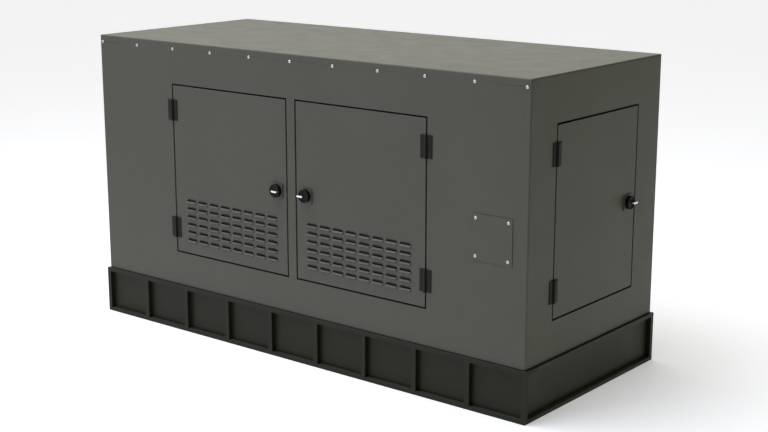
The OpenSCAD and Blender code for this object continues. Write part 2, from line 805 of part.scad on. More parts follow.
module oil_pan() color("#2b2c2e") {
    block([block_x0 + 5, -block_half_w - 25, crankcase_z - 10], [block_x1 - 5, block_half_w + 25, crankcase_z]);
    difference() {
        block([block_x0 + 30, -block_half_w + 10, crankcase_z - pan_h],
              [block_x1 - 30, block_half_w - 10, crankcase_z - 10]);
        block([block_x0 + 34, -block_half_w + 14, crankcase_z - pan_h + 4],
              [block_x1 - 34, block_half_w - 14, crankcase_z - 20]);
    }
}

module intake_manifold() color("#a2a6a8") {
    port_y = block_half_w - 15;
    rod_x(36, block_x0 + 60, block_x1 - 60, port_y + 90, exhaust_z);
    for (x = columns(4, 120)) rod_y(18, port_y, port_y + 80, (block_x0 + block_x1) / 2 + x, exhaust_z);
    translate([block_x1 - 110, port_y + 90, exhaust_z]) cylinder(r = 30, h = 80);
}

module air_cleaner() color("#26282a") {
    y = block_half_w + 75;
    z = exhaust_z + 80 + 75;
    rod_x(75, block_x1 - 340, block_x1 - 20, y, z);
    rod_x(79, block_x1 - 330, block_x1 - 315, y, z);
    rod_x(79, block_x1 - 50, block_x1 - 35, y, z);
    rod_x(32, block_x1 - 400, block_x1 - 339, y, z);
}

// Pipe through right-angle corners with round elbows; each run is [from, to].
module pipe_run(points, r) {
    for (i = [0 : len(points) - 2]) {
        a = points[i];
        step = points[i + 1] - a;
        turn = [0, acos(step.z / norm(step)), atan2(step.y, step.x)];
        translate(a) rotate(turn) cylinder(r = r, h = norm(step));
    }
    for (i = [1 : len(points) - 2]) translate(points[i]) sphere(r = r);
}

module exhaust_manifold() color("#7a5f4c") {
    for (x = columns(4, 120))
        rod_y(20, exhaust_y, -block_half_w + 15, (block_x0 + block_x1) / 2 + x, exhaust_z);
    pipe_run([
        [block_x1 - 80, exhaust_y, exhaust_z],
        [block_x0 + 20, exhaust_y, exhaust_z],
        [block_x0 + 20, exhaust_y, pipe_z],
        [muffler_x, exhaust_y, pipe_z],
        [muffler_x, exhaust_y, muffler_z + muffler_r]
    ], pipe_r);
}

module muffler() color("#8b8d8e") {
    difference() {
        union() {
            rod_y(muffler_r, -muffler_l / 2, muffler_l / 2, muffler_x, muffler_z);
            for (y = [-muffler_l / 2 - 4, muffler_l / 2 - 8])
                rod_y(muffler_r + 3, y, y + 12, muffler_x, muffler_z);
        }
        translate([muffler_x, exhaust_y, muffler_z]) cylinder(r = pipe_r + 1, h = muffler_r);
    }
    rod_x(tail_r, -hl + slat_d + 2, muffler_x, tail_y, muffler_z - 10);
}

module crankshaft() color("#c3c5c6") {
    rod_x(crank_r, block_x0 - 20, block_x1 + 20, 0, crank_z);
    rod_x(crank_r - 15, pulley_x - pulley_t - 6, block_x0 - 19, 0, crank_z);
    rod_x(flywheel_r, block_x1 + 18, block_x1 + 46, 0, crank_z);
    rod_x(crank_r + 30, block_x1 + 45, block_x1 + bell_l + 4, 0, crank_z);
}

// A grooved pulley between x0 and x0 + t about the X axis.
module pulley(r, bore, x0, t, z) difference() {
    union() {
        rod_x(r, x0, x0 + t, 0, z);
        for (x = [x0, x0 + t - 4]) rod_x(r + belt_t + 1, x, x + 4, 0, z);
    }
    rod_x(bore, x0 - eps, x0 + t + eps, 0, z);
}

module crank_pulley() color("#3c3e40")
    pulley(crank_pulley_r, crank_r - 15, pulley_x - pulley_t, pulley_t, crank_z);

module cooling_fan() color("#202224") {
    rod_x(fan_shaft_r, fan_x, block_x0, 0, fan_z);
    pulley(fan_pulley_r, fan_shaft_r, pulley_x - pulley_t, pulley_t, fan_z);
    rod_x(60, fan_x, fan_x + 35, 0, fan_z);
    for (i = [0 : fan_blades - 1]) translate([fan_x + 17.5, 0, fan_z]) rotate([i * 360 / fan_blades, 0, 0])
        translate([0, 0, 40]) rotate([0, 0, 32]) block([-3, -48, 0], [3, 48, fan_r - 52]);
}

// Outline round two pulleys: r0 at the origin and r1 at distance d along +Y.
module belt_outline(r0, r1, d) hull() {
    circle(r = r0, $fn = 96);
    translate([0, d]) circle(r = r1, $fn = 96);
}

module drive_belt() color("#151515")
    translate([pulley_x - pulley_t + 5, 0, crank_z]) rotate([90, 0, 90])
        linear_extrude(height = pulley_t - 10) difference() {
            belt_outline(crank_pulley_r + belt_t, fan_pulley_r + belt_t, fan_z - crank_z);
            belt_outline(crank_pulley_r + belt_gap, fan_pulley_r + belt_gap, fan_z - crank_z);
        }

module radiator() color("#3a3d3f") {
    x0 = radiator_x - radiator_t;
    block([x0, -radiator_w / 2, radiator_z0], [radiator_x, radiator_w / 2, radiator_z1]);
    for (z = [radiator_z0 - tank_h, radiator_z1])
        block([x0 - 4, -radiator_w / 2 - 6, z], [radiator_x, radiator_w / 2 + 6, z + tank_h]);
    translate([x0 + radiator_t / 2, radiator_w / 2 - 60, radiator_z1 + tank_h]) cylinder(r = 26, h = 22);
    for (side = [-1, 1]) block([x0, side * (radiator_w / 2 - 30) - 20, deck_z],
                               [radiator_x, side * (radiator_w / 2 - 30) + 20, radiator_z0 - tank_h + 1]);
}

module fan_shroud() color("#2a2c2e") {
    plate = 4;
    depth = 60;
    difference() {
        union() {
            block([radiator_x, -radiator_w / 2, radiator_z0], [radiator_x + plate, radiator_w / 2, radiator_z1]);
            rod_x(fan_r + 14, radiator_x, radiator_x + depth, 0, fan_z);
        }
        rod_x(fan_r + 10, radiator_x - eps, radiator_x + depth + eps, 0, fan_z);
    }
}

module coolant_hoses() color("#18191a") {
    r = 22;
    top_y = 95;
    pipe_run([
        [radiator_x, 270, radiator_z1 + tank_h / 2],
        [block_x0 - 40, 270, radiator_z1 + tank_h / 2],
        [block_x0 - 40, 270, head_z + 60],
        [block_x0 - 40, 75, head_z + 60],
        [block_x0 + 8, 75, head_z + 60]
    ], r);
    pipe_run([
        [radiator_x, -270, radiator_z0 - tank_h / 2],
        [block_x0 - 40, -270, radiator_z0 - tank_h / 2],
        [block_x0 - 40, -270, crank_z + 60],
        [block_x0 - 40, -100, crank_z + 60],
        [block_x0, -100, crank_z + 60]
    ], r);
}

/* ---- generator ---- */

module generator_stator() color("#4f6d5a") difference() {
    union() {
        rod_x(stator_r, block_x1 + bell_l, stator_l, 0, crank_z);
        for (a = [0 : 15 : 345]) translate([0, 0, crank_z]) rotate([a, 0, 0])
            block([120, stator_r - 5, -4], [420, stator_r + 12, 4]);
        block([150, -120, crank_z + stator_r - 40], [400, 120, crank_z + stator_r + 90]);
        for (side = [-1, 1]) foot(generator_mount_x, side * mount_y, side * 60, crank_z - 150);
    }
    rod_x(bell_r - 15, block_x1 + bell_l - eps, 60, 0, crank_z);
    rod_x(stator_bore_r, 59, stator_l - 20, 0, crank_z);
    rod_x(rotor_shaft_r + run_fit, stator_l - 20 - eps, stator_l + eps, 0, crank_z);
    block([158, -112, crank_z + stator_r + 5], [392, 112, crank_z + stator_r + 82]);
}

module generator_rotor() color("#9c6b45") {
    rod_x(rotor_shaft_r, block_x1 + bell_l + 4, stator_l + 15, 0, crank_z);
    rod_x(150, block_x1 + bell_l + 4, block_x1 + bell_l + 12, 0, crank_z);
    rod_x(stator_bore_r - 2, 110, 430, 0, crank_z);
    rod_x(90, 460, 490, 0, crank_z);
}

module isolation_mounts() color("#1b1b1b")
    for (x = [engine_mount_x, generator_mount_x], y = [-mount_y, mount_y])
        translate([x, y, deck_z]) rotate_extrude() polygon([
            [0, 0], [mount_r + 12, 0], [mount_r + 12, 5], [mount_r, 5], [mount_r - 5, mount_h / 2],
            [mount_r, mount_h - 5], [mount_r, mount_h], [0, mount_h]
        ]);

/* ---- battery and controls ---- */

module battery() color("#222326") {
    block([battery_x, battery_y, deck_z], [battery_x + battery_l, battery_y + battery_w, deck_z + battery_h]);
    for (x = [40, battery_l - 40]) translate([battery_x + x, battery_y + 35, deck_z + battery_h])
        cylinder(r = 9, h = 18);
}

module control_box() color("#b9bab4") difference() {
    block([control_x - control_d, -control_w / 2, control_z0], [control_x, control_w / 2, control_z0 + control_h]);
    block([control_x - control_d + 2, -control_w / 2 + 2, control_z0 + 2],
          [control_x - 3, control_w / 2 - 2, control_z0 + control_h - 2]);
    for (y = [stop_y, mode_y]) rod_x(8 + run_fit, control_x - 3 - eps, control_x + eps, y, control_face_z);
}

module control_stand() color("#4a4b46") {
    for (side = [-1, 1]) translate([0, side * (control_w / 2 - 20), 0]) {
        block([control_x - control_d, -20, deck_z], [control_x - control_d + 40, 20, control_z0]);
        block([control_x - control_d - 20, -20, deck_z], [control_x - control_d + 80, 20, deck_z + 5]);
    }
    block([control_x - control_d - 5, -control_w / 2, breaker_z - 20],
          [control_x - control_d, control_w / 2, control_z0 + 60]);
}

// Mushroom push button: the head stays clear of the face by its travel.
module stop_button() color("#b3231f") translate([control_x, stop_y, control_face_z]) rotate([0, 90, 0])
    rotate_extrude() polygon([
        [0, -20], [8, -20], [8, stop_travel + 2], [stop_r, stop_travel + 4], [stop_r, stop_travel + 10],
        [stop_r - 4, stop_travel + 14], [0, stop_travel + 15]
    ]);

module mode_switch() color("#161616") translate([control_x, mode_y, control_face_z]) {
    rotate([0, 90, 0]) translate([0, 0, -18]) cylinder(r = 8, h = 20);
    rotate([0, 90, 0]) translate([0, 0, move_gap]) cylinder(r = 17, h = 10);
    block([10, -4, -16], [24, 4, 16]);
}

module main_breaker() color("#1d1e20") difference() {
    x0 = control_x - control_d;
    block([x0, -breaker_w / 2, breaker_z], [x0 + breaker_d, breaker_w / 2, breaker_z + breaker_h]);
    block([x0 + breaker_d - 32, -12, breaker_z + breaker_h / 2 - 32],
          [x0 + breaker_d + eps, 12, breaker_z + breaker_h / 2 + 32]);
}

// Toggle lever on a cross shaft sunk in the breaker's slot.
module breaker_lever() color("#d8d8d4") {
    x = control_x - control_d + breaker_d - 16;
    z = breaker_z + breaker_h / 2;
    rod_y(lever_r, -11, 11, x, z);
    translate([x, 0, z]) rotate([0, -25, 0]) block([0, -9, -5], [38, 9, 5]);
}

base_side_rails();
base_end_rails();
base_stiffeners();
base_cross_members();
base_floor();
weather_seals();
front_panel();
rear_panel();
left_end_panel();
right_end_panel();
roof_panel();
door_jambs();
access_covers();
cover_screws();
discharge_grille();
frame_hinge_leaves();
hinge_pins();
left_door_panel();
left_door_hinge_leaves();
left_latch_plate();
left_latch_knob();
left_latch_bar();
left_latch_cam();
right_door_panel();
right_door_hinge_leaves();
right_latch_plate();
right_latch_knob();
right_latch_bar();
right_latch_cam();
end_door_panel();
end_door_hinge_leaves();
end_latch_plate();
end_latch_knob();
end_latch_bar();
end_latch_cam();
engine_block();
cylinder_head();
valve_cover();
oil_pan();
intake_manifold();
air_cleaner();
exhaust_manifold();
muffler();
crankshaft();
crank_pulley();
cooling_fan();
drive_belt();
radiator();
fan_shroud();
coolant_hoses();
generator_stator();
generator_rotor();
isolation_mounts();
battery();
control_box();
control_stand();
stop_button();
mode_switch();
main_breaker();
breaker_lever();
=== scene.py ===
"""Looks of the home standby generator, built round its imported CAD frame. All lengths are metres."""

import json
import math

import bmesh
import bpy
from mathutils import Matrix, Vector


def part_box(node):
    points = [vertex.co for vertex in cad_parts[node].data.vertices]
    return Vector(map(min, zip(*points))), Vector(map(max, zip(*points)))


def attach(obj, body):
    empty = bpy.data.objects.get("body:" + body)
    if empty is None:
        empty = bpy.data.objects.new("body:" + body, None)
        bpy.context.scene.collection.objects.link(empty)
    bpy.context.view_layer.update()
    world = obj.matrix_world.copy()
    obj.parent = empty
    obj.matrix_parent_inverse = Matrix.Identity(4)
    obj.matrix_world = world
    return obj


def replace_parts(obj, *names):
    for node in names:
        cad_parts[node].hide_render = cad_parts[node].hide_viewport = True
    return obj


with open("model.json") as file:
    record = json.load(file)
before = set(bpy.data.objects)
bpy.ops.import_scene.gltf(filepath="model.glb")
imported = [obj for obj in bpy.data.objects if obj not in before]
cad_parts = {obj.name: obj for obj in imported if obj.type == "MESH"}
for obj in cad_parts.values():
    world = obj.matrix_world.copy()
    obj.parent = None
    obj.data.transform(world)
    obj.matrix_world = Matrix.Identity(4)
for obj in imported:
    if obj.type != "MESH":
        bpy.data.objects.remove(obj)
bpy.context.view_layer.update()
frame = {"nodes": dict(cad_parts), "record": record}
nodes = frame["nodes"]
slot_of = {row["node"]: row["material_slot"] for row in frame["record"]["subparts"]}
base_colour = {row["slot"]: tuple(row["base_color"]) for row in frame["record"]["materials"]}

MM = 0.001

# Doors: folded pans of sheet, with a foam liner behind
front_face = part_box("front_panel")[0].y
end_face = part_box("right_end_panel")[1].x
DOOR_SHEET = 2 * MM
DOOR_DEPTH = 22 * MM
EDGE_BEND = 1.2 * MM
LINER_GAP = 0.6 * MM
LINER_MARGIN = 34 * MM
LINER_FREE_EDGE = 110 * MM  # leaves room for the latch
LINER_ABOVE_LOUVRES = 275 * MM
LINER_WEDGE = 24 * MM
LINER_RIM = 9 * MM
LINER_VALLEY = 11 * MM
LINER_RIDGE = 6 * MM
LINER_RIPPLE = 0.6 * MM

# Louvres, as the CAD doors have them: a recess above each slit and a lip turned out below it
LOUVRE_COLUMNS = 8
LOUVRE_ROWS = 6
LOUVRE_W = 52.5 * MM
LOUVRE_H = 10.5 * MM
LOUVRE_IN = 8 * MM
LOUVRE_LIP = 6 * MM
LIP_DROP = 4.5 * MM
LIP_INSET = 1 * MM
LIP_ROOT = 6 * MM
LIP_TAPER = 2.5 * MM
LIP_SHEET = 1.2 * MM
LIP_ROUND = 0.8 * MM
LIP_SHOULDER = 0.8  # share of the lip's reach where its underside starts
PITCH_U = 62.6 * MM
PITCH_V = 31.84 * MM
FIRST_SLIT = 53 * MM
FIELD_SHIFT = 6 * MM
SLIT_STRAIGHT = LOUVRE_W / 2 - LOUVRE_H  # from a slit's middle to where its recess starts to close
LIP_END = LOUVRE_W / 2 - LIP_INSET
BELOW_SLIT = (PITCH_V - LOUVRE_H) * 0.75  # share of the spare pitch that lies under a slit


# ---- node helpers ----


def mix_colours(tree, share, first, second):
    """Mixes two colours, each a tuple or a socket, by the socket share."""
    made = tree.nodes.new("ShaderNodeMix")
    made.data_type = "RGBA"
    sockets = [s for s in made.inputs if s.type == "RGBA"]
    for socket, value in zip(sockets, (first, second)):
        if isinstance(value, tuple):
            socket.default_value = (*value, 1)
        else:
            tree.links.new(value, socket)
    tree.links.new(share, made.inputs["Factor"])
    return next(s for s in made.outputs if s.type == "RGBA")


class Tree:
    """A material's node tree, with short calls for the nodes that the finishes share."""

    def __init__(self, name):
        self.material = bpy.data.materials.new(name)
        self.material.use_nodes = True
        self.tree = self.material.node_tree
        self.shader = self.tree.nodes["Principled BSDF"]
        self.place = self.add("ShaderNodeTexCoord").outputs["Object"]

    def add(self, kind, **values):
        made = self.tree.nodes.new(kind)
        for key, value in values.items():
            setattr(made, key, value)
        return made

    def join(self, source, target):
        self.tree.links.new(source, target)

    def noise(self, scale, detail=3.0, stretch=(1, 1, 1)):
        mapping = self.add("ShaderNodeMapping")
        mapping.inputs["Scale"].default_value = stretch
        self.join(self.place, mapping.inputs["Vector"])
        made = self.add("ShaderNodeTexNoise")
        made.inputs["Scale"].default_value = scale
        made.inputs["Detail"].default_value = detail
        self.join(mapping.outputs["Vector"], made.inputs["Vector"])
        return made.outputs["Fac"]

    def cells(self, scale):
        made = self.add("ShaderNodeTexVoronoi")
        made.inputs["Scale"].default_value = scale
        self.join(self.place, made.inputs["Vector"])
        return made.outputs["Distance"]

    def waves(self, scale, axis):
        made = self.add("ShaderNodeTexWave", wave_type="BANDS", bands_direction=axis)
        made.inputs["Scale"].default_value = scale
        self.join(self.place, made.inputs["Vector"])
        return made.outputs["Fac"]

    def spread(self, source, low, high, to_low, to_high):
        made = self.add("ShaderNodeMapRange")
        limits = {"From Min": low, "From Max": high, "To Min": to_low, "To Max": to_high}
        for name, value in limits.items():
            made.inputs[name].default_value = value
        self.join(source, made.inputs["Value"])
        return made.outputs["Result"]

    def maths(self, operation, first, second):
        made = self.add("ShaderNodeMath", operation=operation)
        for socket, value in zip(made.inputs, (first, second)):
            if isinstance(value, (int, float)):
                socket.default_value = value
            else:
                self.join(value, socket)
        return made.outputs["Value"]

    def blend(self, share, first, second):
        return mix_colours(self.tree, share, first, second)

    def bump(self, height, strength, distance, under=None):
        made = self.add("ShaderNodeBump")
        made.inputs["Strength"].default_value = strength
        made.inputs["Distance"].default_value = distance
        self.join(height, made.inputs["Height"])
        if under:
            self.join(under, made.inputs["Normal"])
        return made.outputs["Normal"]

    def edges(self, radius):
        """1 along sharp outer and inner edges and 0 on flats."""
        soft = self.add("ShaderNodeBevel", samples=4)
        soft.inputs["Radius"].default_value = radius
        true = self.add("ShaderNodeNewGeometry")
        dot = self.add("ShaderNodeVectorMath", operation="DOT_PRODUCT")
        self.join(soft.outputs["Normal"], dot.inputs[0])
        self.join(true.outputs["Normal"], dot.inputs[1])
        return self.spread(dot.outputs["Value"], 0.98, 0.80, 0.0, 1.0)

    def hollows(self, reach):
        """1 in narrow gaps and corners less than reach deep and 0 in the open; it masks painted shade."""
        shelter = self.add("ShaderNodeAmbientOcclusion", samples=6)
        shelter.inputs["Distance"].default_value = reach
        return self.spread(shelter.outputs["AO"], 0.45, 0.15, 0.0, 1.0)

    def facing_up(self):
        """1 on faces that look up and 0 on walls and undersides."""
        true = self.add("ShaderNodeNewGeometry")
        parts = self.add("ShaderNodeSeparateXYZ")
        self.join(true.outputs["Normal"], parts.inputs["Vector"])
        return self.spread(parts.outputs["Z"], 0.5, 0.95, 0.0, 1.0)

    def set(self, **values):
        for key, value in values.items():
            self.shader.inputs[key.replace("_", " ")].default_value = value

    def finish(self, colour, roughness, normal):
        self.join(colour, self.shader.inputs["Base Color"])
        self.join(roughness, self.shader.inputs["Roughness"])
        self.join(normal, self.shader.inputs["Normal"])
        return self.material


def shade(colour, factor):
    """The colour made lighter or darker by factor."""
    return tuple(min(1.0, c * factor) for c in colour)


# ---- finishes ----


# Painted shade: a near-black colour laid into gaps and corners less than GAP_DEPTH deep, standing in for
# the shade there
GAP_SHADE_COLOUR = (0.003, 0.003, 0.0025)
GAP_DEPTH = 8 * MM


def powder_coat(
    name,
    colour,
    roughness,
    wear=(0.16, 0.16, 0.15),
    dust=0.25,
    canning=0.0,
    shine=0.5,
    rub=0.55,
    dust_and_highlight_colour=(0.20, 0.19, 0.15),
    rim=1.6 * MM,
    least=0.0,
):
    """Sprayed paint on sheet, with orange peel and painted shade in its gaps.

    Edges take the colour wear over a width rim, as strongly as rub and nowhere less than least of that:
    worn paint where wear is light, and a painted shade outline where wear is near-black, as on the latch
    plates and access covers.
    Faces that look up carry a share dust of the up-facing colour: fallen dust, and where the share is
    large, as on the louvred doors, a painted highlight of light from above. The sheet waves as much as
    canning says.
    """
    t = Tree(name)
    t.set(Specular_IOR_Level=shine)
    patches = t.noise(2.2, 2.0)
    mottle = t.noise(38.0, 4.0)
    tone = t.blend(t.spread(patches, 0.35, 0.65, 0.0, 1.0), shade(colour, 0.97), shade(colour, 1.03))
    tone = t.blend(t.spread(mottle, 0.45, 0.75, 0.0, 0.22), tone, shade(colour, 1.22))
    # faces that look up: dust, and on the louvred doors a painted highlight
    dust_and_painted_highlight = t.maths("MULTIPLY", t.facing_up(), t.spread(t.noise(5.0, 6.0), 0.25, 0.75, dust * 0.7, dust))
    tone = t.blend(dust_and_painted_highlight, tone, dust_and_highlight_colour)
    scuffs = t.spread(t.noise(60.0, 5.0), 0.42, 0.68, least, 1.0)
    # edge colour: wear, and on the plates and covers a painted shade outline
    edge_wear_and_outline_shade = t.maths("MULTIPLY", t.edges(rim), scuffs)
    tone = t.blend(t.maths("MULTIPLY", edge_wear_and_outline_shade, rub), tone, wear)
    # painted shade: gaps and corners go near-black, and rougher
    painted_gap_shade = t.hollows(GAP_DEPTH)
    tone = t.blend(painted_gap_shade, tone, GAP_SHADE_COLOUR)
    gloss = t.spread(t.noise(11.0, 5.0), 0.3, 0.7, roughness - 0.03, roughness + 0.03)
    gloss = t.maths("ADD", gloss, t.maths("MULTIPLY", t.maths("MAXIMUM", dust_and_painted_highlight, painted_gap_shade), 0.3))
    normal = t.bump(t.noise(620.0, 2.0), 0.10, 0.4 * MM)
    if canning:
        normal = t.bump(t.noise(1.7, 1.0), canning, 6 * MM, normal)
    return t.finish(tone, gloss, normal)


def enamel_casting(name, colour, roughness):
    """Brushed enamel over a sand casting, with patches of oily grime."""
    t = Tree(name)
    grain = t.noise(210.0, 6.0)
    stains = t.spread(t.noise(7.0, 7.0), 0.52, 0.72, 0.0, 0.55)
    tone = t.blend(t.spread(grain, 0.3, 0.7, 0.0, 1.0), shade(colour, 0.86), shade(colour, 1.12))
    tone = t.blend(stains, tone, (0.03, 0.026, 0.02))
    tone = t.blend(t.maths("MULTIPLY", t.edges(2.0 * MM), 0.35), tone, shade(colour, 2.0))
    gloss = t.spread(t.noise(14.0, 5.0), 0.3, 0.7, roughness - 0.08, roughness + 0.14)
    return t.finish(tone, gloss, t.bump(grain, 0.35, 0.8 * MM))


def bare_metal(name, colour, roughness, brushed=(1, 1, 1), tint=None, pits=0.12):
    """Plated, machined or cast bare metal, with drawn lines along the long way of brushed."""
    t = Tree(name)
    lines = t.noise(420.0, 4.0, brushed)
    tone = t.blend(t.spread(lines, 0.3, 0.7, 0.0, 1.0), shade(colour, 0.84), shade(colour, 1.10))
    stains = t.spread(t.noise(11.0, 6.0), 0.48, 0.74, 0.0, 0.6)
    tone = t.blend(stains, tone, tint or shade(colour, 0.6))
    gloss = t.spread(t.noise(90.0, 5.0, brushed), 0.3, 0.7, roughness * 0.75, roughness * 1.35)
    t.set(Metallic=1.0)
    return t.finish(tone, gloss, t.bump(lines, pits, 0.25 * MM))


def moulded(name, colour, roughness, grain=0.25, coat=0.0, shine=0.5):
    """Moulded plastic with a fine spark-eroded grain and edges painted lighter: wear from rubbing and a
    painted sheen.
    """
    t = Tree(name)
    speckle = t.cells(900.0)
    cloud = t.spread(t.noise(30.0, 4.0), 0.35, 0.7, 0.0, 1.0)
    tone = t.blend(cloud, shade(colour, 0.88), shade(colour, 1.18))
    # edges painted lighter: wear and a painted sheen
    tone = t.blend(t.maths("MULTIPLY", t.edges(1.0 * MM), 0.3), tone, shade(colour, 2.4))
    gloss = t.spread(t.noise(45.0, 5.0), 0.3, 0.7, roughness - 0.07, roughness + 0.09)
    t.set(Coat_Weight=coat, Coat_Roughness=0.12, Specular_IOR_Level=shine)
    return t.finish(tone, gloss, t.bump(speckle, grain, 0.15 * MM))


def rubber(name, colour):
    """Matt rubber with a bloom of dust and a faint moulded pebble."""
    t = Tree(name)
    bloom = t.spread(t.noise(24.0, 6.0), 0.42, 0.74, 0.0, 0.4)
    tone = t.blend(bloom, colour, (0.060, 0.058, 0.052))
    gloss = t.spread(t.noise(70.0, 3.0), 0.3, 0.7, 0.62, 0.86)
    return t.finish(tone, gloss, t.bump(t.noise(700.0, 2.0), 0.3, 0.3 * MM))


def finned(name, colour):
    """A black-coated core: close upright fins crossed by flat tubes, drawn as bumps and as painted shade
    between the fins and along the tubes, with painted light on the fins.
    """
    t = Tree(name)
    fins = t.waves(150.0, "Z")
    tubes = t.waves(14.0, "Y")
    # painted shade between the fins and painted light on them, then painted shade along the tubes
    tone = t.blend(t.spread(fins, 0.2, 0.8, 0.0, 1.0), shade(colour, 0.35), shade(colour, 1.7))
    tone = t.blend(t.spread(tubes, 0.75, 0.95, 0.0, 0.7), tone, shade(colour, 0.8))
    gloss = t.spread(t.noise(40.0, 4.0), 0.3, 0.7, 0.35, 0.6)
    t.set(Metallic=0.6)
    return t.finish(tone, gloss, t.bump(t.maths("ADD", fins, tubes), 0.8, 1.5 * MM))


def winding(name, colour):
    """Varnished copper turns laid side by side on a laminated core, with painted shade between the turns
    and painted light on them.
    """
    t = Tree(name)
    turns = t.waves(220.0, "X")
    # painted shade between the turns and painted light on them
    tone = t.blend(t.spread(turns, 0.1, 0.9, 0.0, 1.0), shade(colour, 0.45), shade(colour, 1.3))
    tone = t.blend(t.spread(t.noise(18.0, 5.0), 0.5, 0.75, 0.0, 0.5), tone, (0.09, 0.045, 0.02))
    gloss = t.spread(t.noise(60.0, 4.0), 0.3, 0.7, 0.22, 0.42)
    t.set(Metallic=0.75)
    return t.finish(tone, gloss, t.bump(turns, 0.6, 0.6 * MM))


def open_foam(name, colour):
    """Charcoal acoustic foam with open cells, with painted shade in their pores and painted light on the
    cell walls.
    """
    t = Tree(name)
    cells = t.cells(420.0)
    # painted shade in the pores and painted light on the cell walls
    tone = t.blend(t.spread(cells, 0.05, 0.6, 0.0, 1.0), shade(colour, 0.5), shade(colour, 1.5))
    tone = t.blend(t.spread(t.noise(12.0, 5.0), 0.45, 0.75, 0.0, 0.4), tone, (0.06, 0.058, 0.052))
    gloss = t.spread(t.noise(50.0, 3.0), 0.3, 0.7, 0.85, 0.98)
    t.set(Sheen_Weight=0.3, Sheen_Roughness=0.6)
    return t.finish(tone, gloss, t.bump(cells, 0.9, 1.2 * MM))


WALL = (0.064, 0.0635, 0.050)
END_WALL_PAINTED_SHADE = (0.0595, 0.0585, 0.0365)  # a darker, more olive copy of WALL for the end with the control door: painted shade, standing in for the dimmer, warmer light on that end
BASE = (0.0145, 0.0142, 0.0080)
# a lighter, more olive copy of BASE for the base's end rails: painted light on that end
END_BASE_PAINTED_LIGHT = (0.0300, 0.0310, 0.0160)
BASE_WEAR = (0.05, 0.05, 0.04)
HINGE = (0.0095, 0.0095, 0.0066)
LATCH = (0.0045, 0.0045, 0.0034)
CHROME = (0.86, 0.86, 0.88)
ZINC = (0.64, 0.63, 0.59)
FOAM = (0.022, 0.022, 0.023)
housing = {"roughness": 0.40, "shine": 0.25}
skid = {"roughness": 0.46, "wear": BASE_WEAR, "dust": 0.2, "shine": 0.15}


def own(maker, slot, *values, **named):
    """The finish of a slot in the colour that the record gives it."""
    return maker(slot, base_colour[slot], *values, **named)


finishes = {
    "wall_paint": powder_coat("wall_paint", WALL, dust=0.08, canning=0.02, **housing),
    "base_paint": powder_coat("base_paint", BASE, **skid),
    "hinge_black": powder_coat("hinge_black", HINGE, 0.48, (0.05, 0.05, 0.045), 0.1, shine=0.15),
    "latch_black": moulded("latch_black", LATCH, 0.42, 0.12, 0.0, 0.12),
    "bright_metal": bare_metal("bright_metal", CHROME, 0.18, (1, 6, 6), (0.72, 0.71, 0.68), 0.05),
    "zinc": bare_metal("zinc", ZINC, 0.42, tint=(0.52, 0.51, 0.47)),
    "rubber": own(rubber, "rubber"),
    "engine_paint": own(enamel_casting, "engine_paint", 0.36),
    "cast_alloy": own(bare_metal, "cast_alloy", 0.46, pits=0.4),
    "black_plastic": own(moulded, "black_plastic", 0.48),
    "black_steel": own(powder_coat, "black_steel", 0.36, (0.22, 0.22, 0.22)),
    "hot_iron": own(bare_metal, "hot_iron", 0.62, tint=(0.075, 0.035, 0.018), pits=0.5),
    "muffler_skin": own(bare_metal, "muffler_skin", 0.34, (6, 1, 6), (0.22, 0.15, 0.09)),
    "machined_steel": own(bare_metal, "machined_steel", 0.24, (8, 1, 1)),
    "radiator_core": own(finned, "radiator_core"),
    "generator_paint": own(enamel_casting, "generator_paint", 0.38),
    "rotor_copper": own(winding, "rotor_copper"),
    "control_grey": own(powder_coat, "control_grey", 0.44, (0.60, 0.60, 0.57), 0.1),
    "stop_red": own(moulded, "stop_red", 0.24, 0.04, 0.6),
    "lever_white": own(moulded, "lever_white", 0.36, 0.08, 0.2),
}
foam = open_foam("liner_foam", FOAM)
# Painted highlight: a large share of light bluish grey on faces that look up brightens the louvre lips and
# the doors' top bends, as light from above would; partly dust
door_paint_with_painted_highlight = powder_coat("door_paint_with_painted_highlight", WALL, dust=0.6, canning=0.02, dust_and_highlight_colour=(0.19, 0.19, 0.20), **housing)
# Painted shade: the end panel and the end door get a darker, more olive copy of the wall paint
end_paint_painted_shade = powder_coat("end_paint_painted_shade", END_WALL_PAINTED_SHADE, dust=0.08, canning=0.02, **housing)
end_base_paint_painted_light = powder_coat("end_base_paint_painted_light", END_BASE_PAINTED_LIGHT, **skid)
# Painted shade: a near-black edge colour laid evenly round every edge outlines the latch plates and access
# covers, as their shaded sides and shadow gaps would
outline_shade_settings = {"rim": 3 * MM, "least": 0.8, **housing}
plate_paint_shaded_outline = powder_coat("plate_paint_shaded_outline", WALL, wear=(0.008, 0.008, 0.006), rub=0.9, **outline_shade_settings)
cover_paint_shaded_outline = powder_coat("cover_paint_shaded_outline", WALL, wear=(0.012, 0.012, 0.009), rub=0.8, **outline_shade_settings)


# ---- CAD nodes: finish and softened edges ----

SHARP = 38  # degrees from which a bend counts as an edge
EDGE_SOFT = 0.6 * MM
EDGE_SOFT_OF = {
    "front_panel": 0.8 * MM,
    "rear_panel": 0.8 * MM,
    "left_end_panel": 0.8 * MM,
    "right_end_panel": 0.8 * MM,
    "roof_panel": 0.8 * MM,
    "access_covers": 0.9 * MM,
    "base_side_rails": 0,  # the base's corners touch along one edge, which a bevel would open
    "base_end_rails": 0,
    "base_stiffeners": 0,
}
own_paint = {
    "access_covers": cover_paint_shaded_outline,
    "right_end_panel": end_paint_painted_shade,
    "base_end_rails": end_base_paint_painted_light,
    "left_latch_plate": plate_paint_shaded_outline,
    "right_latch_plate": plate_paint_shaded_outline,
    "end_latch_plate": plate_paint_shaded_outline,
}


